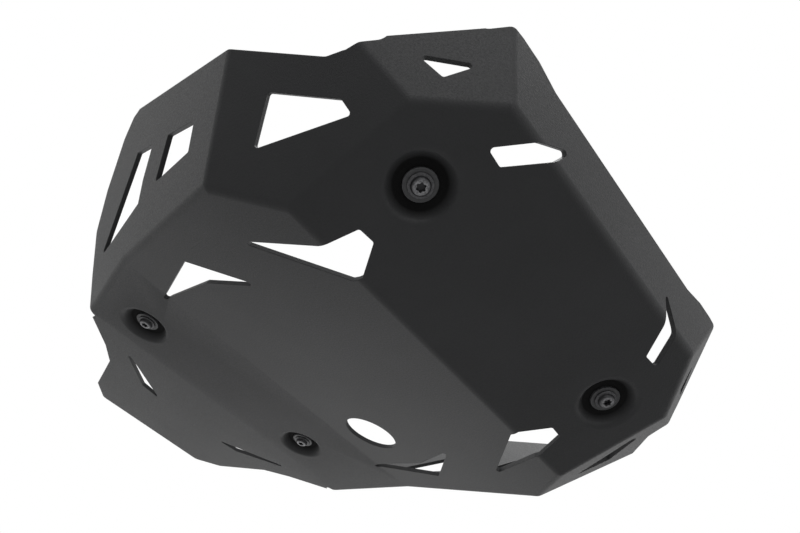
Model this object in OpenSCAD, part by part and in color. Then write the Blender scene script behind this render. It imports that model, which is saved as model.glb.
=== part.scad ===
// Engine guard for a motorcycle: one folded, pressed and laser-cut sheet tray
// with four flange screws and washers. +X points forward, +Y left, +Z up.
// The origin lies in the middle of the flat floor's lower face.

/* [Sheet] */
// Thickness of the sheet
sheet_t = 3; // [2:0.5:4]
// Outer radius of every bend
bend_r = 8; // [6:0.5:12]

/* [Floor and tail] */
// Length of the flat floor, from the front ramp to the first rear fold
floor_len = 174; // [160:1:220]
// Length of the band behind the floor, measured level
band_len = 85; // [75:1:110]
// Slope of the band, down to the rear
band_deg = 9.6; // [4:0.1:14]
// Length of the tail behind the band, measured level
tail_len = 172; // [140:1:200]
// Slope of the tail, down to the rear
tail_deg = 4.2; // [0:0.1:8]
// Half width of the floor where the ramp starts
knee_half = 124; // [115:1:135]
// Half width of the floor at its widest
shoulder_half = 155.5; // [146:0.5:165]
// How far behind the ramp the floor is widest
shoulder_back = 38; // [30:1:50]
// Half width where the side walls end
side_end_half = 141; // [130:1:150]
// Half width of the tail at its narrowing
tail_half = 95; // [85:1:105]
// Half width of the tail behind its second corner
tail_rear_half = 80; // [70:1:84]
// Half width of the rear edge
rear_edge_half = 62; // [50:1:68]

/* [Ramp and nose] */
// Slope of the front ramp
ramp_deg = 32.7; // [28:0.1:38]
// Level length of the ramp up to the nose
ramp_run = 93; // [86:1:110]
// Half width of the ramp where the nose starts
nose_half = 92; // [84:1:100]
// Level distance from the floor to the corner of ramp, knee and cheek
cheek_run = 65; // [58:1:72]
// Half width of the ramp at that corner
cheek_half = 124.2; // [118:0.2:130]
// Forward lean of the nose
nose_lean = 3.7; // [0:0.1:8]
// Height of the nose at its middle
nose_h = 96.5; // [90:0.5:104]
// Rise of the nose's two ears above its middle
nose_ear = 3.5; // [0:0.5:5]
// Half width of the nose at its top
nose_top_half = 112; // [106:1:118]

/* [Side walls] */
// Height of the right wall where the knee panel meets the side
knee_top = 49.5; // [46:0.5:54]
// Height of the left wall where the knee panel meets the side
knee_top_left = 63; // [50:0.5:66]
// How far behind the ramp the knee panel meets the side, at the right wall's height
knee_top_back = 6.5; // [3:0.5:10]
// Height of the knee panel's edge where it meets the cheek
cheek_top = 57.4; // [55:0.2:61]
// Height of the side wall's peak
side_peak = 81.8; // [76:0.2:90]
// Where the peak starts, behind the ramp
peak_back = 148.5; // [140:0.5:158]
// Height of the side wall where its rear edge starts to drop
side_rear_top = 36; // [30:1:46]

/* [Fixings] */
// Place of the front dishes: forward of the floor, and off the centre line
front_dish = [46.5, 90]; // [0:0.5:100]
// Distance of the rear dishes ahead of the rear fold
rear_dish_ahead = 30.5; // [26:0.5:40]
// Offset of the right rear dish from the centre line
rear_dish_right = 106.5; // [95:0.5:112]
// Offset of the left rear dish from the centre line
rear_dish_left = 65; // [50:0.5:112]
// Depth of a dish
dish_depth = 5.6; // [5:0.1:7]
// Radius of a dish's flat seat
seat_r = 13; // [12:0.5:15]
// Radius of a dish at its rim
dish_r = 21; // [20:0.5:24]
// Outer diameter of a washer
washer_d = 18; // [16:0.5:22]
// Thickness of a washer
washer_t = 1.6; // [1:0.1:2]
// Diameter of the screw's shank
screw_d = 6; // [5:0.5:8]
// Length of the screw's shank
screw_len = 20; // [14:1:30]
// Diameter of the screw's collar
collar_d = 13.6; // [12:0.1:15]
// Thickness of the screw's collar
collar_t = 1.1; // [0.8:0.1:1.6]
// Diameter of the screw's domed head
dome_d = 10.5; // [9.5:0.1:11.5]
// Height of the dome above the collar
dome_h = 2.2; // [1.8:0.1:2.8]
// Size across the points of the star socket
socket_d = 5.5; // [4.5:0.1:6]
// Depth of the star socket
socket_depth = 2; // [1.5:0.1:2.6]
// Clearance of the screw in the washer's hole, on the diameter
washer_clear = 0.4; // [0.2:0.1:0.8]
// Clearance of the screw in the sheet's hole, on the diameter
bore_clear = 0.6; // [0.4:0.1:2]

/* [Cut-outs] */
// Diameter of the drain hole
drain_d = 43; // [36:1:50]
// Place of the drain hole: behind the ramp, and left of the centre line
drain_at = [136, 66]; // [40:1:150]
// Corner radius of the cut-outs
cut_r = 1.6; // [0.8:0.1:2]
// Corner radius of the free edges
rim_r = 6; // [3:0.5:8]

/* [Hidden] */
$fn = 64;
ball_fn = 16;
eps = 0.01;

// Where the folds lie along the floor and tail
band_start = -floor_len;
band_end = band_start - band_len;
tail_end = band_end - tail_len;
band_drop = band_len * tan(band_deg);
side_past = 3;
side_end = band_end - side_past;

// Height of the lower surface at a level place
function ramp_z(x) = x * tan(ramp_deg);
function band_z(x) = (x - band_start) * tan(band_deg);
function tail_z(x) = (x - band_end) * tan(tail_deg) - band_drop;
function low_z(x) = x > 0 ? ramp_z(x) : x > band_start ? 0 : x > band_end ? band_z(x) : tail_z(x);
function nose_x(z) = ramp_run + (z - ramp_z(ramp_run)) * tan(nose_lean);

// Planes, each as a unit normal that points into the tray and a distance
inside = [band_start / 2, 0, side_peak / 2];
function unit(v) = v / norm(v);
function facing_in(p) = p[0] * inside < p[1] ? -p : p;
function plane(a, b, c) = let(n = unit(cross(b - a, c - a))) facing_in([n, n * a]);
function inset(p, s) = [p[0], p[1] + s];
function meet(p, q, r) =
    (p[1] * cross(q[0], r[0]) + q[1] * cross(r[0], p[0]) + r[1] * cross(p[0], q[0]))
    / (p[0] * cross(q[0], r[0]));

// Corners of the right half, on the outer faces
knee = [0, -knee_half, 0];
shoulder = [-shoulder_back, -shoulder_half, 0];
cheek = [cheek_run, -cheek_half, ramp_z(cheek_run)];
nose_low = [ramp_run, -nose_half, ramp_z(ramp_run)];
nose_high = [nose_x(nose_h), -nose_top_half, nose_h];

floor_face = [[0, 0, 1], 0];
ramp_face = facing_in([[-sin(ramp_deg), 0, cos(ramp_deg)], 0]);
nose_face = plane(nose_low, nose_high, nose_low + [0, nose_half, 0]);
cheek_face = plane(cheek, nose_low, nose_high);
knee_face = plane(knee, shoulder, cheek);

// A point on a side face from its place along X and its height
function on_face(p, xz) = [xz[0], (p[1] - p[0].x * xz[0] - p[0].z * xz[1]) / p[0].y, xz[1]];
knee_peak = on_face(knee_face, [-knee_top_back, knee_top]);
side_face = plane(shoulder, [side_end, -side_end_half, low_z(side_end)], knee_peak);
band_face = [[-sin(band_deg), 0, cos(band_deg)], -band_start * sin(band_deg)];
tail_face = [[-sin(tail_deg), 0, cos(tail_deg)], tail_z(0) * cos(tail_deg)];

// Ball centres of the two convex halves of the tray, for one height of their top
lap = 12;
opening = 3;
function at_x(x) = [[1, 0, 0], x];
function at_z(z) = [[0, 0, 1], z];
function deep(p) = inset(p, bend_r);
// A knee panel narrows upwards: above its apex the side and the cheek meet each other
function knee_corners(top) =
    let(apex = meet(deep(side_face), deep(knee_face), deep(cheek_face)))
    apex.z > 0 && apex.z < top
    ? [apex, meet(deep(side_face), deep(cheek_face), at_z(top))]
    : [meet(deep(knee_face), deep(cheek_face), at_z(top)),
       meet(deep(knee_face), deep(side_face), at_z(top))];
function fore_corners(top) = concat(knee_corners(top), [
    meet(deep(floor_face), deep(ramp_face), deep(knee_face)),
    meet(deep(floor_face), deep(knee_face), deep(side_face)),
    meet(deep(ramp_face), deep(knee_face), deep(cheek_face)),
    meet(deep(ramp_face), deep(cheek_face), deep(nose_face)),
    meet(deep(cheek_face), deep(nose_face), at_z(top)),
    meet(deep(floor_face), deep(side_face), at_x(band_start - lap)),
    meet(deep(side_face), at_z(top), at_x(band_start - lap))]);
function aft_corners(top) = [
    meet(deep(band_face), deep(side_face), at_x(band_start + lap)),
    meet(deep(side_face), at_z(top), at_x(band_start + lap)),
    meet(deep(band_face), deep(tail_face), deep(side_face)),
    meet(deep(tail_face), deep(side_face), at_x(tail_end - 2 * lap)),
    meet(deep(side_face), at_z(top), at_x(tail_end - 2 * lap))];

module rounded_body(corners, r) {
    hull()
        for (p = corners, s = [1, -1])
            translate([p.x, s * p.y, p.z])
                sphere(r, $fn = ball_fn);
}

// The tray before trimming: walls of even thickness, cut level at the top
wall_top = nose_h + nose_ear + opening;
inner_rise = bend_r - sheet_t + opening;
beyond = 400;
module blank() {
    difference() {
        union() {
            rounded_body(fore_corners(wall_top), bend_r);
            rounded_body(aft_corners(wall_top), bend_r);
        }
        rounded_body(fore_corners(wall_top + inner_rise), bend_r - sheet_t);
        rounded_body(aft_corners(wall_top + inner_rise), bend_r - sheet_t);
        translate([tail_end - beyond, -beyond, wall_top])
            cube([beyond - tail_end + beyond, 2 * beyond, beyond]);
    }
}

// Outline with each corner turned into an arc, of no more than a share of its edges
arc_step = 24;
arc_share = 0.45;
function arc_of(p, a, b, r) =
    let(u = unit(a - p), v = unit(b - p), half = acos(u * v) / 2,
        k = min(r, arc_share * min(norm(a - p), norm(b - p)) * tan(half)),
        c = p + unit(u + v) * k / sin(half),
        from = p + u * k / tan(half) - c, to = p + v * k / tan(half) - c,
        a0 = atan2(from.y, from.x), turn = atan2(to.y, to.x) - a0,
        sweep = turn > 180 ? turn - 360 : turn < -180 ? turn + 360 : turn,
        n = max(2, ceil(abs(sweep) / arc_step)))
    [for (i = [0:n]) c + k * [cos(a0 + sweep * i / n), sin(a0 + sweep * i / n)]];
function soft(pts, r) = let(n = len(pts))
    [for (i = [0:n - 1], q = arc_of(pts[i], pts[(i + n - 1) % n], pts[(i + 1) % n], r)) q];

// Frame of a cut: two axes across its direction
function tilt(d) = [0, acos(d.z / norm(d)), atan2(d.y, d.x)];
function across(d) = let(t = tilt(d))
    [[cos(t.z) * cos(t.y), sin(t.z) * cos(t.y), -sin(t.y)], [-sin(t.z), cos(t.z), 0]];
function flat_on(pts, d) = let(m = across(d)) [for (p = pts) [p * m[0], p * m[1]]];
function mean(v) = v * [for (i = v) 1] / len(v);

// Cut through the points, along a direction and square to the panel they lie on
cut_reach = 14;
module cut(pts, d) {
    depth = mean([for (p = pts) p * unit(d)]);
    rotate(tilt(d))
        translate([0, 0, depth - cut_reach])
            linear_extrude(2 * cut_reach)
                polygon(soft(flat_on(pts, d), cut_r));
}

// Takes away what stands above an edge line, along a direction
clear_up = 260;
clear_side = 60;
module trim_above(pts, d) {
    m = across(d);
    line = flat_on(pts, d);
    last = line[len(line) - 1];
    up = clear_up * unit([m[0].z, m[1].z]);
    wide = clear_side * unit(last - line[0]);
    depth = mean([for (p = pts) p * unit(d)]);
    rotate(tilt(d))
        translate([0, 0, depth - cut_reach])
            linear_extrude(2 * cut_reach)
                polygon(soft(concat(line, [last + up + wide, line[0] + up - wide]), rim_r));
}

// Points partway from one point to another, so that neighbouring trims overlap
trim_lap = 12;
function toward(a, b, far = trim_lap) = a + unit(b - a) * far;
function between(a, b, share) = a + (b - a) * share;
function last_of(v) = v[len(v) - 1];

// Rear and top edge of a side wall, as shares of its rise from the rear to the peak
side_foot = low_z(side_end);
foot_below = [-2, -20];
foot_above = [2.5, 23];
side_edge = [for (q = concat([[side_end, side_foot] + foot_below, [side_end, side_foot] + foot_above],
                             [for (k = [[0.075, 0], [0.32, 0.44], [0.69, 0.88], [0.88, 1], [1, 1]])
                                 [between(side_end, -peak_back, k[0]),
                                  between(side_rear_top, side_peak, k[1])]]))
             on_face(side_face, q)];

// Top edge of a knee panel and of a cheek panel
cheek_peak = meet(knee_face, cheek_face, at_z(cheek_top));
knee_edge = [for (k = [[0.7, 0.24], [0.89, 0.66]])
             on_face(knee_face, [cheek_peak.x * k[0], between(knee_top, cheek_top, k[1])])];
ear_top = nose_h + nose_ear;
ear_drop = 1;
nose_corner = meet(cheek_face, nose_face, at_z(ear_top - ear_drop));
cheek_step = [2.5, 4];
cheek_rise = on_face(cheek_face, [cheek_peak.x, cheek_top] + cheek_step);

// Top edge of the nose: the ear's level top, then its slope down to the middle
ear_inset = 6;
ear_half = nose_top_half - ear_inset;
ear_level = 14;
ear_slope = 17;
nose_edge = [for (q = [[ear_half, ear_top], [ear_half - ear_level, ear_top],
                       [ear_half - ear_level - ear_slope, nose_h]])
             [nose_x(nose_h), -q[0], q[1]]];

module trim_side(top) {
    peak = between(shoulder, knee_peak, top / knee_top);
    trim_above(concat(side_edge, [peak, toward(peak, knee_edge[0])]), side_face[0]);
    trim_above(concat([toward(peak, last_of(side_edge)), peak], knee_edge,
                      [cheek_peak, toward(cheek_peak, nose_corner)]), knee_face[0]);
    trim_above([toward(cheek_peak, last_of(knee_edge)), cheek_peak, cheek_rise, nose_corner,
                toward(nose_corner, nose_edge[0], trim_lap / 2)], cheek_face[0]);
    translate([knee_peak.x, cheek_peak.y - beyond, max(top, knee_top) + trim_lap / 2])
        cube([beyond, beyond - trim_lap / 2, beyond]);
}

module trim_nose() {
    right = concat([nose_corner - [0, trim_lap, trim_lap], nose_corner], nose_edge);
    left = [for (i = [len(right) - 1:-1:0]) [right[i].x, -right[i].y, right[i].z]];
    trim_above(concat(right, left), [1, 0, 0]);
}

// Takes away what lies outside the tail's outline, seen from above. Its corners lie at
// shares of the tail's run behind the side walls
waist_share = [0.24, 0.67];
narrow_share = 0.4;
rear_share = 0.83;
module trim_tail() {
    run = side_end - tail_end;
    neck = [side_end - waist_share[0] * run, between(side_end_half, tail_half, waist_share[1])];
    side = [2 * [side_end, side_end_half] - neck, neck,
            [side_end - narrow_share * run, tail_half],
            [side_end - rear_share * run, tail_rear_half], [tail_end, rear_edge_half]];
    outline = concat(side, [for (i = [len(side) - 1:-1:0]) [side[i].x, -side[i].y]]);
    translate([0, 0, -beyond / 2])
        linear_extrude(beyond)
            difference() {
                translate([side_end - beyond, -beyond])
                    square([beyond, 2 * beyond]);
                polygon(soft(outline, rim_r));
            }
}

// Cut-outs of the right half. Each corner is two shares: of a panel's length from a
// fold, and of its half width or its height
wall_run = -shoulder_back - side_end;
module floor_slot() {
    cut([for (k = [[0.679, 0.733], [0.344, 0.833], [0.161, 0.592], [0.357, 0.707]])
         let(x = -shoulder_back - k[0] * wall_run) [x, -k[1] * shoulder_half, low_z(x)]],
        floor_face[0]);
}

module ramp_slot() {
    cut([for (k = [[-0.58, 0.996], [-0.043, 0.802], [0.172, 0.754], [0.177, 0.673],
                   [0.016, 0.581], [-0.048, 0.589]])
         let(x = k[0] * ramp_run) [x, -k[1] * knee_half, low_z(x)]],
        floor_face[0] + ramp_face[0]);
}

module nose_slot() {
    cut([for (k = [[0.924, 0.82], [0.777, 1], [0.549, 1.298], [0.625, 1.038], [0.802, 0.812]])
         let(z = k[1] * ramp_z(ramp_run))
         [min(z / tan(ramp_deg), nose_x(z)), -k[0] * nose_half, z]],
        ramp_face[0] + nose_face[0]);
}

module knee_window() {
    cut([for (k = [[0.093, 0.751], [0.572, 0.784], [0.612, 0.695], [-0.124, 0.348]])
         on_face(knee_face, [k[0] * cheek_run, k[1] * knee_top])],
        knee_face[0]);
}

module side_window(corners) {
    cut([for (k = corners)
         on_face(side_face, [-shoulder_back - k[0] * wall_run, k[1] * side_peak])],
        side_face[0]);
}

module cheek_window() {
    cut([for (k = [[0.07, 0.5], [0.71, 0.43], [0.32, 0.27]])
         let(x = between(cheek_run, ramp_run, k[0]))
         on_face(cheek_face, [x, ramp_z(x) + k[1] * ramp_z(cheek_run)])],
        cheek_face[0]);
}

module tail_slot() {
    cut([for (k = [[0.105, 1.1], [0.448, 0.379], [0.424, 0.605]])
         let(x = band_end - k[0] * tail_len) [x, -k[1] * tail_half, tail_z(x)]],
        floor_face[0]);
}

// Places of the four fixings: a point on the lower face, and the slope there
front_at = [front_dish[0], front_dish[1], ramp_z(front_dish[0])];
rear_x = band_end + rear_dish_ahead;
STATIONS = [[[front_at.x, -front_at.y, front_at.z], ramp_deg],
            [front_at, ramp_deg],
            [[rear_x, -rear_dish_right, band_z(rear_x)], band_deg],
            [[rear_x, rear_dish_left, band_z(rear_x)], band_deg]];

module at_station(i) {
    translate(STATIONS[i][0])
        rotate([0, -STATIONS[i][1], 0])
            children();
}

// Pressed dish: the rim bends away from the face, the foot bends back to a flat seat
foot_bend = 2;
rim_bend = sheet_t + foot_bend;
dish_run = dish_r - seat_r;
dish_lack = dish_depth - rim_bend - foot_bend;
wall_deg = atan2(dish_lack, dish_run) + asin((rim_bend + foot_bend) / norm([dish_run, dish_lack]));

// Profile of a dish at a depth inside the sheet, from the rim to the axis
function dish_line(inside) = concat(
    [for (i = [0:5]) let(a = wall_deg * i / 5)
        [dish_r - (rim_bend - inside) * sin(a), rim_bend - (rim_bend - inside) * cos(a)]],
    [for (i = [5:-1:0]) let(a = wall_deg * i / 5)
        [seat_r + (foot_bend + inside) * sin(a),
         dish_depth - foot_bend + (foot_bend + inside) * cos(a)]]);

module dish_solid() {
    rotate_extrude()
        polygon(concat([[0, sheet_t / 2], [dish_r, sheet_t / 2]], dish_line(sheet_t),
                       [[0, dish_depth + sheet_t]]));
}

module dish_hollow() {
    rotate_extrude()
        polygon(concat([[0, -rim_r], [dish_r, -rim_r]], dish_line(0), [[0, dish_depth]]));
    cylinder(h = dish_depth + sheet_t + 1, d = screw_d + bore_clear);
}

// Moves the origin from the ramp's fold to the middle of the floor
module placed() {
    translate([floor_len / 2, 0, 0])
        children();
}

module plate() {
    color([0.11, 0.11, 0.12])
        placed()
            difference() {
                union() {
                    blank();
                    for (i = [0:3]) at_station(i) dish_solid();
                }
                for (i = [0:3]) at_station(i) dish_hollow();
                for (s = [0, 1])
                    mirror([0, s, 0]) {
                        trim_side(s == 0 ? knee_top : knee_top_left);
                        floor_slot();
                        ramp_slot();
                        nose_slot();
                        knee_window();
                        side_window([[0.053, 0.435], [0.234, 0.535], [0.331, 0.317], [0.09, 0.286]]);
                        side_window([[0.359, 0.601], [0.498, 0.675], [0.873, 0.181], [0.479, 0.298],
                                     [0.439, 0.43]]);
                        cheek_window();
                        tail_slot();
                    }
                trim_nose();
                trim_tail();
                translate([-drain_at[0], drain_at[1], -cut_reach])
                    cylinder(h = 2 * cut_reach, d = drain_d);
            }
}

// Washer that lies on a dish's seat
washer_face = dish_depth - washer_t;
module washer(i) {
    edge = 0.3;
    color([0.16, 0.16, 0.17])
        placed() at_station(i)
            translate([0, 0, washer_face])
                rotate_extrude()
                    polygon([[(screw_d + washer_clear) / 2, 0], [washer_d / 2 - edge, 0],
                             [washer_d / 2, edge], [washer_d / 2, washer_t],
                             [(screw_d + washer_clear) / 2, washer_t]]);
}

// Screw with a collar, a domed head and a star socket, pointing into the tray
module screw(i) {
    crown_share = 0.3;
    crown_r = dome_d * crown_share;
    collar_edge = 0.2;
    tip = 0.6;
    lobes = 6;
    lobe_share = 0.11;
    lobe_r = socket_d * lobe_share;
    core_share = 0.76;
    neck_share = 0.86;
    neck_d = screw_d * neck_share;
    neck_past = 0.4;
    neck_len = washer_t + sheet_t + neck_past;
    color([0.2, 0.2, 0.21])
        placed() at_station(i)
            translate([0, 0, washer_face])
                difference() {
                    union() {
                        rotate_extrude()
                            polygon(concat(
                                [[0, -collar_t - dome_h]],
                                [for (k = [0:5]) let(a = 15 * k)
                                    [crown_r + (dome_d / 2 - crown_r) * sin(a),
                                     -collar_t - dome_h * cos(a)]],
                                [[dome_d / 2, -collar_t], [collar_d / 2 - collar_edge, -collar_t],
                                 [collar_d / 2, -collar_t + collar_edge], [collar_d / 2, 0], [0, 0]]));
                        cylinder(h = screw_len - tip, d = neck_d);
                        translate([0, 0, neck_len])
                            cylinder(h = screw_len - tip - neck_len, d = screw_d);
                        translate([0, 0, screw_len - tip])
                            cylinder(h = tip, d1 = screw_d, d2 = screw_d - 2 * tip);
                    }
                    translate([0, 0, -collar_t - dome_h - eps])
                        linear_extrude(socket_depth + eps)
                            union() {
                                circle(d = socket_d * core_share);
                                for (k = [0:lobes - 1])
                                    rotate(k * 360 / lobes)
                                        translate([socket_d / 2 - lobe_r, 0])
                                            circle(lobe_r, $fn = 24);
                            }
                }
}

plate();
washer(0);  // washer_front_right
washer(1);  // washer_front_left
washer(2);  // washer_rear_right
washer(3);  // washer_rear_left
screw(0);  // screw_front_right
screw(1);  // screw_front_left
screw(2);  // screw_rear_right
screw(3);  // screw_rear_left
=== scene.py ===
"""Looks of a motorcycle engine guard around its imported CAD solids.

+X points forward, +Y left, +Z up, and the origin is the middle of the flat floor.
The sheet's sizes are in millimetres, with x measured from the front ramp's fold.
"""

import math

import bmesh
import bpy
from mathutils import Euler, Matrix, Vector


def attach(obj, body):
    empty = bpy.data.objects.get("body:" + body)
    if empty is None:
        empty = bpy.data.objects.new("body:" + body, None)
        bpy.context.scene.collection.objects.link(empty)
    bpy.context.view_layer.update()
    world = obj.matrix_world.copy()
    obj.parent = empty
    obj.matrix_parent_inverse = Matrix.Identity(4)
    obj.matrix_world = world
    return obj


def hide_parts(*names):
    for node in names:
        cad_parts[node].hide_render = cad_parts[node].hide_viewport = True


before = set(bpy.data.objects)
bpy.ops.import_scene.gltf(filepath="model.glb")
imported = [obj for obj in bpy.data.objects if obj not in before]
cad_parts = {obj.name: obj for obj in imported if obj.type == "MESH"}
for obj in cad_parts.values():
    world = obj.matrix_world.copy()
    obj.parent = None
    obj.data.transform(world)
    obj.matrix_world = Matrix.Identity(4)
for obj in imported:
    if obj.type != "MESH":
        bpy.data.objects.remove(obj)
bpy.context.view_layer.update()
bpy.context.scene.view_settings.view_transform = "Standard"

MM = 0.001
X, Y, Z = Vector((1, 0, 0)), Vector((0, 1, 0)), Vector((0, 0, 1))
STATIONS = ("front_right", "front_left", "rear_right", "rear_left")


# Sizes of the folded sheet, as in the CAD

SHEET = 3.0
BEND = 8.0
FLOOR_LEN = 174.0
BAND_LEN = 85.0
BAND_SLOPE = math.radians(9.6)
TAIL_LEN = 172.0
TAIL_SLOPE = math.radians(4.2)
KNEE_HALF = 124.0
SHOULDER_HALF = 155.5
SHOULDER_BACK = 38.0
SIDE_END_HALF = 141.0
TAIL_HALF = 95.0
TAIL_REAR_HALF = 80.0
REAR_EDGE_HALF = 62.0
RAMP_SLOPE = math.radians(32.7)
RAMP_RUN = 93.0
NOSE_HALF = 92.0
CHEEK_RUN = 65.0
CHEEK_HALF = 124.2
NOSE_LEAN = math.radians(3.7)
NOSE_H = 96.5
NOSE_EAR = 3.5
NOSE_TOP_HALF = 112.0
KNEE_TOP = 49.5
KNEE_TOP_LEFT = 63.0
KNEE_TOP_BACK = 6.5
CHEEK_TOP = 57.4
SIDE_PEAK = 81.8
PEAK_BACK = 148.5
SIDE_REAR_TOP = 36.0
FRONT_DISH = (46.5, 90.0)
REAR_DISH_AHEAD = 30.5
REAR_DISH_RIGHT = 106.5
REAR_DISH_LEFT = 65.0
DISH_DEPTH = 5.6
SEAT_R = 13.0
DISH_R = 21.0
# Reach and fade of the painted shade around each dish's seat
WELL_SHADE_R = SEAT_R + 3.2
WELL_SHADE_FADE = 2.6
HOLE_D = 6.6
DRAIN_D = 43.0
DRAIN_AT = (136.0, 66.0)
CUT_R = 1.6
RIM_R = 6.0

BAND_START = -FLOOR_LEN
BAND_END = BAND_START - BAND_LEN
TAIL_END = BAND_END - TAIL_LEN
SIDE_END = BAND_END - 3
LAP = 12.0
OPENING = 3.0
BEYOND = 400.0
CUT_REACH = 14.0


def ramp_z(x):
    return x * math.tan(RAMP_SLOPE)


def band_z(x):
    return (x - BAND_START) * math.tan(BAND_SLOPE)


def tail_z(x):
    return (x - BAND_END) * math.tan(TAIL_SLOPE) - BAND_LEN * math.tan(BAND_SLOPE)


def low_z(x):
    if x > 0:
        return ramp_z(x)
    if x > BAND_START:
        return 0.0
    return band_z(x) if x > BAND_END else tail_z(x)


def nose_x(z):
    return RAMP_RUN + (z - ramp_z(RAMP_RUN)) * math.tan(NOSE_LEAN)


# Planes of the right half, each a unit normal that points into the tray and a distance

INSIDE = Vector((BAND_START / 2, 0, SIDE_PEAK / 2))


def facing_in(normal, distance):
    if normal.dot(INSIDE) < distance:
        return -normal, -distance
    return normal, distance


def plane(a, b, c):
    normal = (b - a).cross(c - a).normalized()
    return facing_in(normal, normal.dot(a))


def meet(p, q, r):
    (a, x), (b, y), (c, z) = p, q, r
    return (x * b.cross(c) + y * c.cross(a) + z * a.cross(b)) / a.dot(b.cross(c))


def on_face(face, x, z):
    n, distance = face
    return Vector((x, (distance - n.x * x - n.z * z) / n.y, z))


def deep(face):
    return face[0], face[1] + BEND


def at_x(x):
    return X, x


def at_z(z):
    return Z, z


def between(a, b, share):
    return a + (b - a) * share


def toward(a, b, far=LAP):
    return a + (b - a).normalized() * far


KNEE = Vector((0, -KNEE_HALF, 0))
SHOULDER = Vector((-SHOULDER_BACK, -SHOULDER_HALF, 0))
CHEEK = Vector((CHEEK_RUN, -CHEEK_HALF, ramp_z(CHEEK_RUN)))
NOSE_LOW = Vector((RAMP_RUN, -NOSE_HALF, ramp_z(RAMP_RUN)))
NOSE_HIGH = Vector((nose_x(NOSE_H), -NOSE_TOP_HALF, NOSE_H))

FLOOR = (Z, 0.0)
RAMP = facing_in(Vector((-math.sin(RAMP_SLOPE), 0, math.cos(RAMP_SLOPE))), 0.0)
NOSE = plane(NOSE_LOW, NOSE_HIGH, NOSE_LOW + Vector((0, NOSE_HALF, 0)))
CHEEK_SIDE = plane(CHEEK, NOSE_LOW, NOSE_HIGH)
KNEE_SIDE = plane(KNEE, SHOULDER, CHEEK)
KNEE_PEAK = on_face(KNEE_SIDE, -KNEE_TOP_BACK, KNEE_TOP)
WALL = plane(SHOULDER, Vector((SIDE_END, -SIDE_END_HALF, low_z(SIDE_END))), KNEE_PEAK)
BAND = (Vector((-math.sin(BAND_SLOPE), 0, math.cos(BAND_SLOPE))),
        -BAND_START * math.sin(BAND_SLOPE))
TAIL = (Vector((-math.sin(TAIL_SLOPE), 0, math.cos(TAIL_SLOPE))),
        tail_z(0) * math.cos(TAIL_SLOPE))


def fore_corners(top):
    apex = meet(deep(WALL), deep(KNEE_SIDE), deep(CHEEK_SIDE))
    if 0 < apex.z < top:
        knee_corners = [apex, meet(deep(WALL), deep(CHEEK_SIDE), at_z(top))]
    else:
        knee_corners = [meet(deep(KNEE_SIDE), deep(CHEEK_SIDE), at_z(top)),
                        meet(deep(KNEE_SIDE), deep(WALL), at_z(top))]
    return knee_corners + [
        meet(deep(FLOOR), deep(RAMP), deep(KNEE_SIDE)),
        meet(deep(FLOOR), deep(KNEE_SIDE), deep(WALL)),
        meet(deep(RAMP), deep(KNEE_SIDE), deep(CHEEK_SIDE)),
        meet(deep(RAMP), deep(CHEEK_SIDE), deep(NOSE)),
        meet(deep(CHEEK_SIDE), deep(NOSE), at_z(top)),
        meet(deep(FLOOR), deep(WALL), at_x(BAND_START - LAP)),
        meet(deep(WALL), at_z(top), at_x(BAND_START - LAP))]


def aft_corners(top):
    rear = at_x(TAIL_END - 2 * LAP)
    return [meet(deep(BAND), deep(WALL), at_x(BAND_START + LAP)),
            meet(deep(WALL), at_z(top), at_x(BAND_START + LAP)),
            meet(deep(BAND), deep(TAIL), deep(WALL)),
            meet(deep(TAIL), deep(WALL), rear),
            meet(deep(WALL), at_z(top), rear)]


# Solids that the sheet is made from

def solid(name, bm):
    bmesh.ops.recalc_face_normals(bm, faces=bm.faces)
    mesh = bpy.data.meshes.new(name)
    bm.to_mesh(mesh)
    bm.free()
    made = bpy.data.objects.new(name, mesh)
    bpy.context.scene.collection.objects.link(made)
    return made


def ball(r, sides=56):
    rings = sides // 2
    points = [Vector((0, 0, r)), Vector((0, 0, -r))]
    for i in range(1, rings):
        tilt = math.pi * i / rings
        for k in range(sides):
            turn = 2 * math.pi * k / sides
            points.append(Vector((math.sin(tilt) * math.cos(turn),
                                  math.sin(tilt) * math.sin(turn), math.cos(tilt))) * r)
    return points


def rounded_body(name, corners, r):
    """Convex body around balls at the corners and at their mirror images."""
    bm = bmesh.new()
    for p in corners:
        for side in (1, -1):
            centre = Vector((p.x, side * p.y, p.z))
            for offset in ball(r):
                bm.verts.new(centre + offset)
    hull = bmesh.ops.convex_hull(bm, input=bm.verts, use_existing_faces=False)
    inner = {v for v in hull["geom_interior"] + hull["geom_unused"]
             if isinstance(v, bmesh.types.BMVert)}
    bmesh.ops.delete(bm, geom=list(inner), context="VERTS")
    bmesh.ops.dissolve_limit(bm, angle_limit=math.radians(0.2), verts=bm.verts, edges=bm.edges)
    return solid(name, bm)


def prism(name, points, axes, low, high):
    """Outline in the plane of two axes, pushed along the third."""
    bm = bmesh.new()
    u, v, w = axes
    ends = [[bm.verts.new(u * a + v * b + w * depth) for a, b in points]
            for depth in (low, high)]
    bm.faces.new(ends[0])
    bm.faces.new(ends[1])
    for i in range(len(points)):
        k = (i + 1) % len(points)
        bm.faces.new((ends[0][i], ends[0][k], ends[1][k], ends[1][i]))
    return solid(name, bm)


def lathe(name, profile, place, sides=96):
    """Profile of radius and height from the axis back to the axis, turned all round."""
    bm = bmesh.new()
    rings = []
    for r, z in profile:
        if r < 1e-6:
            rings.append([bm.verts.new(place @ Vector((0, 0, z)))])
            continue
        rings.append([bm.verts.new(place @ Vector((r * math.cos(2 * math.pi * k / sides),
                                                   r * math.sin(2 * math.pi * k / sides), z)))
                      for k in range(sides)])
    for a, b in zip(rings, rings[1:]):
        for k in range(sides):
            n = (k + 1) % sides
            corners = [a[k % len(a)], a[n % len(a)], b[n % len(b)], b[k % len(b)]]
            bm.faces.new(list(dict.fromkeys(corners)))
    return solid(name, bm)


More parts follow.
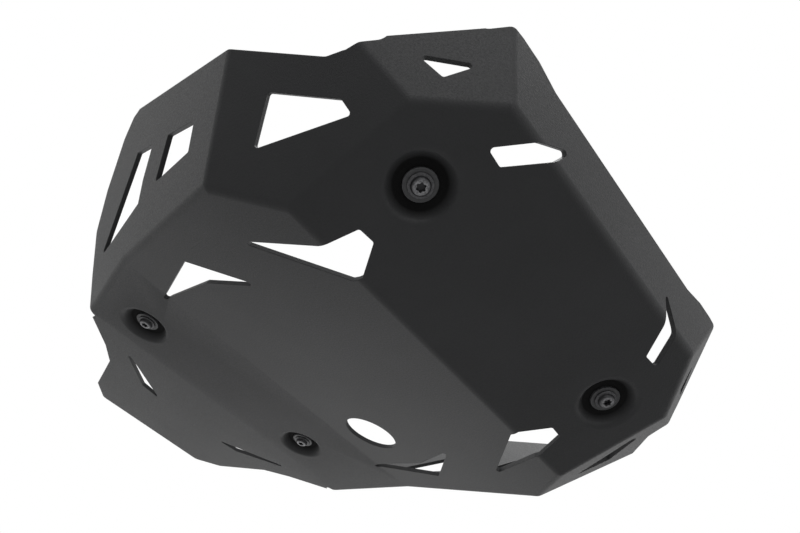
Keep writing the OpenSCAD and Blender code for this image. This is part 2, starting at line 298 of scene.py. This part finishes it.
def slab(name, low, high):
    outline = [(low[0], low[1]), (high[0], low[1]), (high[0], high[1]), (low[0], high[1])]
    return prism(name, outline, (X, Y, Z), low[2], high[2])


# Outlines of the cut-outs and of the free edges

def arc_at(p, a, b, r, step=8.0, share=0.45):
    u, v = (a - p).normalized(), (b - p).normalized()
    half = math.acos(max(-1.0, min(1.0, u.dot(v)))) / 2
    k = min(r, share * min((a - p).length, (b - p).length) * math.tan(half))
    centre = p + (u + v).normalized() * k / math.sin(half)
    start = p + u * k / math.tan(half) - centre
    end = p + v * k / math.tan(half) - centre
    first = math.atan2(start.y, start.x)
    sweep = (math.atan2(end.y, end.x) - first + math.pi) % (2 * math.pi) - math.pi
    steps = max(2, math.ceil(abs(math.degrees(sweep)) / step))
    return [centre + Vector((math.cos(first + sweep * i / steps),
                             math.sin(first + sweep * i / steps))) * k
            for i in range(steps + 1)]


def softened(points, r):
    n = len(points)
    return [q for i in range(n)
            for q in arc_at(points[i], points[i - 1], points[(i + 1) % n], r)]


def axes_across(direction):
    w = direction.normalized()
    tilt, turn = math.acos(w.z), math.atan2(w.y, w.x)
    u = Vector((math.cos(turn) * math.cos(tilt), math.sin(turn) * math.cos(tilt),
                -math.sin(tilt)))
    return u, Vector((-math.sin(turn), math.cos(turn), 0)), w


def flat_on(points, axes):
    return [Vector((p.dot(axes[0]), p.dot(axes[1]))) for p in points]


def depth_of(points, axes):
    return sum(p.dot(axes[2]) for p in points) / len(points)


def cut(name, points, direction):
    axes = axes_across(direction)
    depth = depth_of(points, axes)
    return prism(name, softened(flat_on(points, axes), CUT_R), axes,
                 depth - CUT_REACH, depth + CUT_REACH)


def trim_above(name, points, direction, clear_up=260.0, clear_side=60.0):
    axes = axes_across(direction)
    line = flat_on(points, axes)
    up = Vector((axes[0].z, axes[1].z)).normalized() * clear_up
    wide = (line[-1] - line[0]).normalized() * clear_side
    depth = depth_of(points, axes)
    return prism(name, softened(line + [line[-1] + up + wide, line[0] + up - wide], RIM_R),
                 axes, depth - CUT_REACH, depth + CUT_REACH)


SIDE_FOOT = low_z(SIDE_END)
SIDE_EDGE = [on_face(WALL, SIDE_END - 2, SIDE_FOOT - 20),
             on_face(WALL, SIDE_END + 2.5, SIDE_FOOT + 23)] + [
    on_face(WALL, between(SIDE_END, -PEAK_BACK, along), between(SIDE_REAR_TOP, SIDE_PEAK, rise))
    for along, rise in ((0.075, 0), (0.32, 0.44), (0.69, 0.88), (0.88, 1), (1, 1))]
CHEEK_PEAK = meet(KNEE_SIDE, CHEEK_SIDE, at_z(CHEEK_TOP))
KNEE_EDGE = [on_face(KNEE_SIDE, CHEEK_PEAK.x * along, between(KNEE_TOP, CHEEK_TOP, rise))
             for along, rise in ((0.7, 0.24), (0.89, 0.66))]
EAR_TOP = NOSE_H + NOSE_EAR
EAR_HALF = NOSE_TOP_HALF - 6
NOSE_CORNER = meet(CHEEK_SIDE, NOSE, at_z(EAR_TOP - 1))
CHEEK_RISE = on_face(CHEEK_SIDE, CHEEK_PEAK.x + 2.5, CHEEK_TOP + 4)
NOSE_EDGE = [Vector((nose_x(NOSE_H), -half, z))
             for half, z in ((EAR_HALF, EAR_TOP), (EAR_HALF - 14, EAR_TOP),
                             (EAR_HALF - 31, NOSE_H))]
WALL_RUN = -SHOULDER_BACK - SIDE_END


def side_trims(top):
    """What stands above the edges of the right half's wall, knee and cheek."""
    peak = between(SHOULDER, KNEE_PEAK, top / KNEE_TOP)
    above = max(top, KNEE_TOP) + LAP / 2
    return [
        trim_above("wall_edge", SIDE_EDGE + [peak, toward(peak, KNEE_EDGE[0])], WALL[0]),
        trim_above("knee_edge", [toward(peak, SIDE_EDGE[-1]), peak] + KNEE_EDGE
                   + [CHEEK_PEAK, toward(CHEEK_PEAK, NOSE_CORNER)], KNEE_SIDE[0]),
        trim_above("cheek_edge", [toward(CHEEK_PEAK, KNEE_EDGE[-1]), CHEEK_PEAK, CHEEK_RISE,
                                  NOSE_CORNER, toward(NOSE_CORNER, NOSE_EDGE[0], LAP / 2)],
                   CHEEK_SIDE[0]),
        slab("wall_above", (KNEE_PEAK.x, CHEEK_PEAK.y - BEYOND, above),
             (KNEE_PEAK.x + BEYOND, CHEEK_PEAK.y - LAP / 2, above + BEYOND))]


def side_cut_outs():
    """Slots and windows of the right half."""
    floor_slot = [Vector((x, -half * SHOULDER_HALF, low_z(x))) for x, half in (
        (-SHOULDER_BACK - k * WALL_RUN, half) for k, half in
        ((0.679, 0.733), (0.344, 0.833), (0.161, 0.592), (0.357, 0.707)))]
    ramp_slot = [Vector((k * RAMP_RUN, -half * KNEE_HALF, low_z(k * RAMP_RUN)))
                 for k, half in ((-0.58, 0.996), (-0.043, 0.802), (0.172, 0.754),
                                 (0.177, 0.673), (0.016, 0.581), (-0.048, 0.589))]
    nose_slot = [Vector((min(z / math.tan(RAMP_SLOPE), nose_x(z)), -half * NOSE_HALF, z))
                 for half, z in ((half, k * ramp_z(RAMP_RUN)) for half, k in
                                 ((0.924, 0.82), (0.777, 1), (0.549, 1.298), (0.625, 1.038),
                                  (0.802, 0.812)))]
    knee_window = [on_face(KNEE_SIDE, along * CHEEK_RUN, rise * KNEE_TOP) for along, rise in
                   ((0.093, 0.751), (0.572, 0.784), (0.612, 0.695), (-0.124, 0.348))]
    front_window, rear_window = (
        [on_face(WALL, -SHOULDER_BACK - along * WALL_RUN, rise * SIDE_PEAK)
         for along, rise in shares]
        for shares in (((0.053, 0.435), (0.234, 0.535), (0.331, 0.317), (0.09, 0.286)),
                       ((0.359, 0.601), (0.498, 0.675), (0.873, 0.181), (0.479, 0.298),
                        (0.439, 0.43))))
    cheek_window = [on_face(CHEEK_SIDE, x, ramp_z(x) + rise * ramp_z(CHEEK_RUN))
                    for x, rise in ((between(CHEEK_RUN, RAMP_RUN, along), rise)
                                    for along, rise in ((0.07, 0.5), (0.71, 0.43),
                                                        (0.32, 0.27)))]
    tail_slot = [Vector((x, -half * TAIL_HALF, tail_z(x))) for x, half in (
        (BAND_END - k * TAIL_LEN, half) for k, half in
        ((0.105, 1.1), (0.448, 0.379), (0.424, 0.605)))]
    return [cut("floor_slot", floor_slot, FLOOR[0]),
            cut("ramp_slot", ramp_slot, FLOOR[0] + RAMP[0]),
            cut("nose_slot", nose_slot, RAMP[0] + NOSE[0]),
            cut("knee_window", knee_window, KNEE_SIDE[0]),
            cut("front_window", front_window, WALL[0]),
            cut("rear_window", rear_window, WALL[0]),
            cut("cheek_window", cheek_window, CHEEK_SIDE[0]),
            cut("tail_slot", tail_slot, FLOOR[0])]


def mirrored(parts):
    for part in parts:
        part.data.transform(Matrix.Diagonal((1, -1, 1, 1)))
        part.data.flip_normals()
    return parts


def nose_trim():
    right = [NOSE_CORNER - Vector((0, LAP, LAP)), NOSE_CORNER] + NOSE_EDGE
    left = [Vector((p.x, -p.y, p.z)) for p in reversed(right)]
    return trim_above("nose_edge", right + left, X)


def tail_trim():
    run = SIDE_END - TAIL_END
    end = Vector((SIDE_END, SIDE_END_HALF))
    neck = Vector((SIDE_END - 0.24 * run, between(SIDE_END_HALF, TAIL_HALF, 0.67)))
    side = [2 * end - neck, neck, Vector((SIDE_END - 0.4 * run, TAIL_HALF)),
            Vector((SIDE_END - 0.83 * run, TAIL_REAR_HALF)), Vector((TAIL_END, REAR_EDGE_HALF))]
    kept = softened(side + [Vector((p.x, -p.y)) for p in reversed(side)], RIM_R)
    ahead = [p for p in kept if p.x > SIDE_END]
    start = kept.index(min(ahead, key=lambda p: p.y))
    ring = kept[start:] + kept[:start]
    tail = prism("tail_kept", ring, (X, Y, Z), -BEYOND / 2, BEYOND / 2)
    room = slab("tail_room", (SIDE_END - BEYOND, -BEYOND, -BEYOND / 2 + 1),
                (SIDE_END, BEYOND, BEYOND / 2 - 1))
    return carved(room, cut_away=[tail])


# Boolean work

def apply_modifiers(piece):
    piece.data = bpy.data.meshes.new_from_object(
        piece.evaluated_get(bpy.context.evaluated_depsgraph_get()))
    piece.modifiers.clear()
    return piece.data


def carved(base, joined=(), cut_away=()):
    for parts, operation in ((joined, "UNION"), (cut_away, "DIFFERENCE")):
        for part in parts:
            step = base.modifiers.new(part.name, "BOOLEAN")
            step.operation = operation
            step.solver = "MANIFOLD"
            step.object = part
    apply_modifiers(base)
    for part in (*joined, *cut_away):
        bpy.data.objects.remove(part)
    return base


# Pressed dishes and fixings

REAR_X = BAND_END + REAR_DISH_AHEAD
PLACES = {
    "front_right": ((FRONT_DISH[0], -FRONT_DISH[1], ramp_z(FRONT_DISH[0])), RAMP_SLOPE),
    "front_left": ((FRONT_DISH[0], FRONT_DISH[1], ramp_z(FRONT_DISH[0])), RAMP_SLOPE),
    "rear_right": ((REAR_X, -REAR_DISH_RIGHT, band_z(REAR_X)), BAND_SLOPE),
    "rear_left": ((REAR_X, REAR_DISH_LEFT, band_z(REAR_X)), BAND_SLOPE)}
FOOT_BEND = 2.0
RIM_BEND = SHEET + FOOT_BEND


def place_of(station):
    at, slope = PLACES[station]
    return Matrix.Translation(at) @ Euler((0, -slope, 0)).to_matrix().to_4x4()


def dish_line(inside, steps=14):
    run, lack = DISH_R - SEAT_R, DISH_DEPTH - RIM_BEND - FOOT_BEND
    lean = math.atan2(lack, run) + math.asin((RIM_BEND + FOOT_BEND) / math.hypot(run, lack))
    turns = [lean * i / steps for i in range(steps + 1)]
    rim, foot = RIM_BEND - inside, FOOT_BEND + inside
    return ([(DISH_R - rim * math.sin(a), RIM_BEND - rim * math.cos(a)) for a in turns]
            + [(SEAT_R + foot * math.sin(a), DISH_DEPTH - FOOT_BEND + foot * math.cos(a))
               for a in reversed(turns)])


def dish_solid(station):
    return lathe("dish_solid", [(0, SHEET / 2), (DISH_R, SHEET / 2)] + dish_line(SHEET)
                 + [(0, DISH_DEPTH + SHEET)], place_of(station))


def dish_hollow(station):
    return lathe("dish_hollow", [(0, -RIM_R), (DISH_R, -RIM_R)] + dish_line(0)
                 + [(0, DISH_DEPTH)], place_of(station))


def dish_hole(station):
    reach = DISH_DEPTH + SHEET + 1
    return lathe("dish_hole", [(0, 0), (HOLE_D / 2, 0), (HOLE_D / 2, reach), (0, reach)],
                 place_of(station))


def folded_sheet():
    top = NOSE_H + NOSE_EAR + OPENING
    inner_top = top + BEND - SHEET + OPENING
    base = rounded_body("plate_skin", fore_corners(top), BEND)
    drain = lathe("drain", [(0, -CUT_REACH), (DRAIN_D / 2, -CUT_REACH),
                            (DRAIN_D / 2, CUT_REACH), (0, CUT_REACH)],
                  Matrix.Translation((-DRAIN_AT[0], DRAIN_AT[1], 0)))
    carved(base, joined=[rounded_body("aft", aft_corners(top), BEND)],
           cut_away=[rounded_body("fore_inside", fore_corners(inner_top), BEND - SHEET),
                     rounded_body("aft_inside", aft_corners(inner_top), BEND - SHEET),
                     slab("above", (TAIL_END - BEYOND, -BEYOND, top), (BEYOND, BEYOND, BEYOND))])
    carved(base, joined=[dish_solid(s) for s in STATIONS],
           cut_away=[make(s) for s in STATIONS for make in (dish_hollow, dish_hole)]
           + side_trims(KNEE_TOP) + side_cut_outs()
           + mirrored(side_trims(KNEE_TOP_LEFT) + side_cut_outs())
           + [nose_trim(), tail_trim(), drain])
    return base


def to_frame(mesh):
    """Millimetres from the ramp's fold to metres from the middle of the floor."""
    mesh.transform(Matrix.Scale(MM, 4) @ Matrix.Translation((FLOOR_LEN / 2, 0, 0)))


def smooth_bends(piece, angle=24.0):
    """Bends shade smoothly, flat panels stay flat and cut edges stay crisp."""
    mesh = piece.data
    for face in mesh.polygons:
        face.use_smooth = True
    mesh.set_sharp_from_angle(angle=math.radians(angle))
    weighted = piece.modifiers.new("weighted", "WEIGHTED_NORMAL")
    weighted.keep_sharp = True
    weighted.weight = 100
    apply_modifiers(piece).name = piece.name


def paint_well_shade(piece):
    """Stores painted shade: how near each point lies to a dish's middle, where the coat is
    darkened to stand in for the shadow in the dish.
    """
    well = piece.data.attributes.new("well", "FLOAT", "POINT")
    from_fold = [place_of(s).inverted() for s in STATIONS]
    for vertex, value in zip(piece.data.vertices, well.data):
        at = [turn @ vertex.co for turn in from_fold]
        r = min(math.hypot(p.x, p.y) for p in at)
        value.value = max(0.0, min(1.0, (WELL_SHADE_R - r) / WELL_SHADE_FADE))


# Screws and washers

WASHER_D = 18.0
WASHER_T = 1.6
WASHER_HOLE = 6.4
SCREW_D = 6.0
SCREW_LEN = 20.0
COLLAR_D = 13.6
COLLAR_T = 1.1
DOME_D = 10.5
DOME_H = 2.2
SOCKET_D = 5.5
SOCKET_DEPTH = 2.0
PITCH = 1.0
THREAD_START = 2.4
THREAD_DEPTH = 0.55
THREAD_RUN_IN = 1.6
TIP_CHAMFER = 0.9
TIP_SLOPE = 0.9
NECK_R = SCREW_D / 2 - 0.4
NECK_LEN = 3.0
WASHER_FACE = DISH_DEPTH - WASHER_T


def star_outline(sides=72):
    """Six-lobed socket, a little inside its size so that the lobes stay round."""
    middle, swing = SOCKET_D * 0.435, SOCKET_D * 0.062
    return [((middle + swing * math.cos(6 * a)) * math.cos(a),
             (middle + swing * math.cos(6 * a)) * math.sin(a))
            for a in (2 * math.pi * k / sides for k in range(sides))]


def head_profile():
    """From the crown's middle over the dome and the collar to the neck under it."""
    crown = DOME_D * 0.32
    top = -COLLAR_T - DOME_H
    line = [(0, top), (crown * 0.6, top)]
    for k in range(1, 13):
        a = math.radians(7.5 * k)
        line.append((crown + (DOME_D / 2 - crown) * math.sin(a), -COLLAR_T - DOME_H * math.cos(a)))
    rim = COLLAR_D / 2
    line += [(DOME_D / 2 + 0.12, -COLLAR_T + 0.05), (DOME_D / 2 + 0.4, -COLLAR_T + 0.12),
             (rim - 0.45, -COLLAR_T + 0.12), (rim - 0.18, -COLLAR_T + 0.2),
             (rim, -COLLAR_T + 0.45), (rim, -0.15), (rim - 0.15, 0)]
    return line + [(NECK_R, 0), (NECK_R, NECK_LEN), (0, NECK_LEN)]


def threaded_shank(sides=48, rows_per_turn=8):
    """Shank with a helical thread, from inside the washer to its chamfered tip."""
    bm = bmesh.new()
    start, end = THREAD_START, SCREW_LEN
    rows = int((end - start) / PITCH * rows_per_turn)
    rings = []
    for j in range(rows + 1):
        z = between(start, end, j / rows)
        limit = SCREW_D / 2 - max(0.0, z - (end - TIP_CHAMFER)) * TIP_SLOPE
        ring = []
        for k in range(sides):
            phase = (z / PITCH - k / sides) % 1.0
            groove = THREAD_DEPTH * (1 - abs(2 * phase - 1)) ** 0.8
            r = min(limit, SCREW_D / 2 - groove * min(1.0, (z - start) / THREAD_RUN_IN))
            a = 2 * math.pi * k / sides
            ring.append(bm.verts.new((r * math.cos(a), r * math.sin(a), z)))
        rings.append(ring)
    for a, b in zip(rings, rings[1:]):
        for k in range(sides):
            n = (k + 1) % sides
            bm.faces.new((a[k], a[n], b[n], b[k]))
    bm.faces.new(rings[0])
    bm.faces.new(rings[-1])
    return solid("threaded_shank", bm)


def mark_wear(piece, wear_at):
    """Stores how much of its coat each point has lost, for the finish to read."""
    wear = piece.data.attributes.new("wear", "FLOAT", "POINT")
    for vertex, value in zip(piece.data.vertices, wear.data):
        value.value = wear_at(vertex.co)


def one_screw():
    top = -COLLAR_T - DOME_H
    screw = lathe("screw", head_profile(), Matrix.Identity(4), sides=72)
    socket = prism("socket", star_outline(), (X, Y, Z), top - 1, top + SOCKET_DEPTH)
    carved(screw, joined=[threaded_shank()], cut_away=[socket])

    def rubbed(at):
        r = math.hypot(at.x, at.y)
        if at.z > -COLLAR_T + 0.3:
            return 0.25
        if r > DOME_D / 2 - 0.1:
            return 0.3
        on_top = max(0.0, min(1.0, (4.6 - r) / 1.2))
        return on_top if at.z < top + 1.2 else 0.0

    mark_wear(screw, rubbed)
    screw.data.transform(Matrix.Translation((0, 0, WASHER_FACE)))
    return screw


def one_washer():
    r, hole = WASHER_D / 2, WASHER_HOLE / 2
    low, high = WASHER_FACE, WASHER_FACE + WASHER_T
    line = [(hole, low + 0.1), (hole + 0.1, low), (r - 0.45, low), (r - 0.2, low + 0.08),
            (r - 0.05, low + 0.25), (r, low + 0.45), (r, high - 0.1), (r - 0.1, high),
            (hole + 0.1, high), (hole, high - 0.1)]
    bm = bmesh.new()
    sides = 96
    rings = [[bm.verts.new((a * math.cos(t), a * math.sin(t), z))
              for t in (2 * math.pi * k / sides for k in range(sides))] for a, z in line]
    for i, ring in enumerate(rings):
        after = rings[(i + 1) % len(rings)]
        for k in range(sides):
            n = (k + 1) % sides
            bm.faces.new((ring[k], ring[n], after[n], after[k]))
    washer = solid("washer", bm)
    mark_wear(washer, lambda at: 1.0 if math.hypot(at.x, at.y) > r - 0.3 else 0.2)
    return washer


def stations_tree():
    """Puts a copy of one fixing at each station, square to the sheet there."""
    tree = bpy.data.node_groups.new("fixings_at_stations", "GeometryNodeTree")
    face = tree.interface
    sockets = {"stations": face.new_socket("Stations", socket_type="NodeSocketGeometry"),
               "fixing": face.new_socket("Fixing", socket_type="NodeSocketObject"),
               "finish": face.new_socket("Finish", socket_type="NodeSocketMaterial"),
               "seed": face.new_socket("Turn seed", socket_type="NodeSocketInt")}
    face.new_socket("Fixings", in_out="OUTPUT", socket_type="NodeSocketGeometry")
    add, link = tree.nodes.new, tree.links.new
    given, out = add("NodeGroupInput"), add("NodeGroupOutput")
    info = add("GeometryNodeObjectInfo")
    link(given.outputs["Fixing"], info.inputs["Object"])
    slope = add("GeometryNodeInputNamedAttribute")
    slope.data_type = "FLOAT_VECTOR"
    slope.inputs["Name"].default_value = "lean"
    lean = add("FunctionNodeEulerToRotation")
    link(slope.outputs["Attribute"], lean.inputs[0])
    copies = add("GeometryNodeInstanceOnPoints")
    link(given.outputs["Stations"], copies.inputs["Points"])
    link(info.outputs["Geometry"], copies.inputs["Instance"])
    link(lean.outputs[0], copies.inputs["Rotation"])
    chance = add("FunctionNodeRandomValue")
    chance.data_type = "FLOAT_VECTOR"
    chance.inputs["Min"].default_value = (0, 0, 0)
    chance.inputs["Max"].default_value = (0, 0, math.radians(60))
    link(given.outputs["Turn seed"], chance.inputs["Seed"])
    turn = add("FunctionNodeEulerToRotation")
    link(chance.outputs[0], turn.inputs[0])
    turned = add("GeometryNodeRotateInstances")
    link(copies.outputs[0], turned.inputs["Instances"])
    link(turn.outputs[0], turned.inputs["Rotation"])
    whole = add("GeometryNodeRealizeInstances")
    link(turned.outputs[0], whole.inputs[0])
    dressed = add("GeometryNodeSetMaterial")
    link(whole.outputs[0], dressed.inputs["Geometry"])
    link(given.outputs["Finish"], dressed.inputs["Material"])
    link(dressed.outputs[0], out.inputs[0])
    return tree, {key: socket.identifier for key, socket in sockets.items()}


def at_stations(name, fixing, finish, tree, inputs, seed):
    mesh = bpy.data.meshes.new(name)
    mesh.from_pydata([PLACES[s][0] for s in STATIONS], [], [])
    lean = mesh.attributes.new("lean", "FLOAT_VECTOR", "POINT")
    for station, value in zip(STATIONS, lean.data):
        value.vector = (0, -PLACES[station][1], 0)
    piece = bpy.data.objects.new(name, mesh)
    bpy.context.scene.collection.objects.link(piece)
    modifier = piece.modifiers.new("stations", "NODES")
    modifier.node_group = tree
    modifier[inputs["fixing"]] = fixing
    modifier[inputs["finish"]] = finish
    modifier[inputs["seed"]] = seed
    shape = apply_modifiers(piece)
    bpy.data.objects.remove(fixing)
    to_frame(shape)
    smooth_bends(piece, angle=35.0)
    return piece


# Helpers that build shader trees

def new_tree(name):
    material = bpy.data.materials.new(name)
    material.use_nodes = True
    tree = material.node_tree
    tree.nodes.clear()
    out = tree.nodes.new("ShaderNodeOutputMaterial")
    shader = tree.nodes.new("ShaderNodeBsdfPrincipled")
    tree.links.new(shader.outputs[0], out.inputs[0])
    return material, tree, shader


def object_coordinates(tree):
    return tree.nodes.new("ShaderNodeTexCoord").outputs["Object"]


def noise(tree, where, scale, detail=2.0, roughness=0.5):
    n = tree.nodes.new("ShaderNodeTexNoise")
    n.inputs["Scale"].default_value = scale
    n.inputs["Detail"].default_value = detail
    n.inputs["Roughness"].default_value = roughness
    tree.links.new(where, n.inputs["Vector"])
    return n.outputs["Fac"]


def ramp(tree, value, low, high, colours):
    r = tree.nodes.new("ShaderNodeMapRange")
    r.inputs["From Min"].default_value = low
    r.inputs["From Max"].default_value = high
    tree.links.new(value, r.inputs["Value"])
    mix = tree.nodes.new("ShaderNodeMix")
    mix.data_type = "RGBA"
    mix.inputs["A"].default_value = (*colours[0], 1)
    mix.inputs["B"].default_value = (*colours[1], 1)
    tree.links.new(r.outputs[0], mix.inputs["Factor"])
    return mix.outputs["Result"]


def span(tree, value, low, high, to_low, to_high):
    r = tree.nodes.new("ShaderNodeMapRange")
    r.inputs["From Min"].default_value = low
    r.inputs["From Max"].default_value = high
    r.inputs["To Min"].default_value = to_low
    r.inputs["To Max"].default_value = to_high
    tree.links.new(value, r.inputs["Value"])
    return r.outputs[0]


def bump(tree, shader, height, strength, distance, before=None):
    b = tree.nodes.new("ShaderNodeBump")
    b.inputs["Strength"].default_value = strength
    b.inputs["Distance"].default_value = distance
    tree.links.new(height, b.inputs["Height"])
    if before is not None:
        tree.links.new(before, b.inputs["Normal"])
    tree.links.new(b.outputs[0], shader.inputs["Normal"])


def powder_coat():
    """Black textured powder coat: a fine pebbled skin over the sheet, with painted shade made
    near-black and matte in each dish's seat.
    """
    material, tree, shader = new_tree("powder_coat")
    where = object_coordinates(tree)
    grain = noise(tree, where, 1000, 2.5, 0.6)
    patch = noise(tree, where, 14, 3.0, 0.6)
    coat = ramp(tree, patch, 0.3, 0.7, ((0.021, 0.0215, 0.0225), (0.027, 0.0275, 0.029)))
    # Painted shade: the stored attribute mixes the seat of each dish to near-black and full
    # roughness, standing in for the dish's shadow
    well = tree.nodes.new("ShaderNodeAttribute")
    well.attribute_name = "well"
    shade = tree.nodes.new("ShaderNodeMix")
    shade.data_type = "RGBA"
    shade.inputs["B"].default_value = (0.0015, 0.0015, 0.0015, 1)
    tree.links.new(well.outputs["Fac"], shade.inputs["Factor"])
    tree.links.new(coat, shade.inputs["A"])
    tree.links.new(shade.outputs["Result"], shader.inputs["Base Color"])
    satin = span(tree, grain, 0.3, 0.7, 0.46, 0.62)
    well_shade_matte = tree.nodes.new("ShaderNodeMix")
    well_shade_matte.inputs["B"].default_value = 1.0
    tree.links.new(well.outputs["Fac"], well_shade_matte.inputs["Factor"])
    tree.links.new(satin, well_shade_matte.inputs["A"])
    tree.links.new(well_shade_matte.outputs["Result"], shader.inputs["Roughness"])
    shader.inputs["IOR"].default_value = 1.5
    shader.inputs["Specular IOR Level"].default_value = 0.32
    rounded = tree.nodes.new("ShaderNodeBevel")
    rounded.samples = 6
    rounded.inputs["Radius"].default_value = 0.0006
    bump(tree, shader, grain, 0.6, 0.00022, rounded.outputs[0])
    return material


def worn(tree, patch, least, most):
    """The stored wear, broken up by a pattern."""
    stored = tree.nodes.new("ShaderNodeAttribute")
    stored.attribute_name = "wear"
    mix = tree.nodes.new("ShaderNodeMath")
    mix.operation = "MULTIPLY"
    tree.links.new(stored.outputs["Fac"], mix.inputs[0])
    tree.links.new(span(tree, patch, 0.35, 0.6, least, most), mix.inputs[1])
    return mix.outputs[0]


def washer_coat():
    """Satin black coat, a little rubbed on the washer's edge."""
    material, tree, shader = new_tree("washer_coat")
    where = object_coordinates(tree)
    grain = noise(tree, where, 1800, 2.0)
    patch = noise(tree, where, 700, 3.0, 0.6)
    tree.links.new(ramp(tree, worn(tree, patch, 0.1, 1.0), 0, 1,
                        ((0.03, 0.0305, 0.032), (0.085, 0.086, 0.09))),
                   shader.inputs["Base Color"])
    tree.links.new(span(tree, grain, 0.3, 0.7, 0.32, 0.5), shader.inputs["Roughness"])
    bump(tree, shader, grain, 0.3, 0.00008)
    return material


def screw_steel():
    """Blackened steel with a rubbed, rough crown."""
    material, tree, shader = new_tree("screw_steel")
    where = object_coordinates(tree)
    grain = noise(tree, where, 1500, 3.0, 0.6)
    patch = noise(tree, where, 900, 4.0, 0.7)
    tree.links.new(ramp(tree, worn(tree, patch, 0.25, 1.0), 0, 1,
                        ((0.035, 0.035, 0.037), (0.3, 0.3, 0.31))),
                   shader.inputs["Base Color"])
    shader.inputs["Metallic"].default_value = 0.7
    tree.links.new(span(tree, grain, 0.3, 0.7, 0.34, 0.5), shader.inputs["Roughness"])
    bump(tree, shader, grain, 0.25, 0.00008)
    return material


def dress(piece, material):
    piece.data.materials.clear()
    piece.data.materials.append(material)


plate = folded_sheet()
# Painted shade in the seat of each dish
paint_well_shade(plate)
to_frame(plate.data)
smooth_bends(plate)
dress(plate, powder_coat())
placing, placing_inputs = stations_tree()
washers = at_stations("washers", one_washer(), washer_coat(), placing, placing_inputs, seed=3)
screws = at_stations("screws", one_screw(), screw_steel(), placing, placing_inputs, seed=11)
for piece, slot, stands_for in ((plate, "coated_sheet", ["plate"]),
                                (washers, "washer_black", ["washer_" + s for s in STATIONS]),
                                (screws, "screw_black", ["screw_" + s for s in STATIONS])):
    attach(piece, "root")
    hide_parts(*stands_for)


# Camera, from the photograph's solved view

CAMERA_AT = Vector((0.29554, -0.16846, -0.15294))
LOOK_RIGHT = Vector((0.67027959, 0.64076703, 0.37435663))
LOOK_DOWN = Vector((-0.24325939, 0.66628872, -0.70490014))
LOOK_FORWARD = Vector((-0.70110637, 0.38141441, 0.60247233))
FOCAL_PIXELS = 534.54
IMAGE_WIDTH = 800


def add_camera():
    data = bpy.data.cameras.new("camera")
    data.sensor_width = 36
    data.lens = FOCAL_PIXELS / IMAGE_WIDTH * data.sensor_width
    data.clip_start = 0.01
    camera = bpy.data.objects.new("camera", data)
    bpy.context.scene.collection.objects.link(camera)
    turn = Matrix((LOOK_RIGHT, -LOOK_DOWN, -LOOK_FORWARD)).transposed()
    camera.matrix_world = Matrix.Translation(CAMERA_AT) @ turn.to_4x4()
    bpy.context.scene.camera = camera


add_camera()


# Floor, white room and lamps

FLOOR_Z = -1.1
FLOOR_REACH = 6.0


def add_floor():
    mesh = bpy.data.meshes.new("studio_floor")
    mesh.from_pydata([(x * FLOOR_REACH, y * FLOOR_REACH, FLOOR_Z)
                      for x, y in ((-1, -1), (1, -1), (1, 1), (-1, 1))], [], [(0, 1, 2, 3)])
    floor = bpy.data.objects.new("studio_floor", mesh)
    bpy.context.scene.collection.objects.link(floor)
    material, _, shader = new_tree("studio_floor")
    shader.inputs["Base Color"].default_value = (0.85, 0.85, 0.85, 1)
    shader.inputs["Roughness"].default_value = 0.9
    mesh.materials.append(material)


def add_world():
    """A dim room for diffuse light, which the camera, gloss and glass see as white."""
    world = bpy.data.worlds.new("white_room")
    bpy.context.scene.world = world
    world.use_nodes = True
    tree = world.node_tree
    tree.nodes.clear()
    out = tree.nodes.new("ShaderNodeOutputWorld")
    room = tree.nodes.new("ShaderNodeBackground")
    room.inputs["Strength"].default_value = 0.3
    white = tree.nodes.new("ShaderNodeBackground")
    for sky in (room, white):
        sky.inputs["Color"].default_value = (1, 1, 1, 1)
    path = tree.nodes.new("ShaderNodeLightPath")
    seen = path.outputs["Is Camera Ray"]
    for ray in ("Is Glossy Ray", "Is Transmission Ray"):
        either = tree.nodes.new("ShaderNodeMath")
        either.operation = "MAXIMUM"
        tree.links.new(seen, either.inputs[0])
        tree.links.new(path.outputs[ray], either.inputs[1])
        seen = either.outputs[0]
    mix = tree.nodes.new("ShaderNodeMixShader")
    tree.links.new(seen, mix.inputs[0])
    tree.links.new(room.outputs[0], mix.inputs[1])
    tree.links.new(white.outputs[0], mix.inputs[2])
    tree.links.new(mix.outputs[0], out.inputs[0])


def add_lamp(name, at, power, size=(0.9, 0.9), aim=(-0.05, 0, 0)):
    data = bpy.data.lights.new(name, "AREA")
    data.shape = "RECTANGLE"
    data.size, data.size_y = size
    data.energy = power
    lamp = bpy.data.objects.new(name, data)
    bpy.context.scene.collection.objects.link(lamp)
    lamp.location = at
    lamp.rotation_euler = (Vector(aim) - Vector(at)).to_track_quat("-Z", "Y").to_euler()
    lamp.visible_camera = False


add_floor()
add_world()
add_lamp("above", (-0.2, 0.2, 1.7), 22, (1.4, 1.4))
add_lamp("rear", (-1.3, -0.1, -0.35), 1.6)
add_lamp("low_left", (-0.7, 0.6, -0.5), 1.8)
add_lamp("front_right", (0.95, -0.75, 0.45), 3.5)
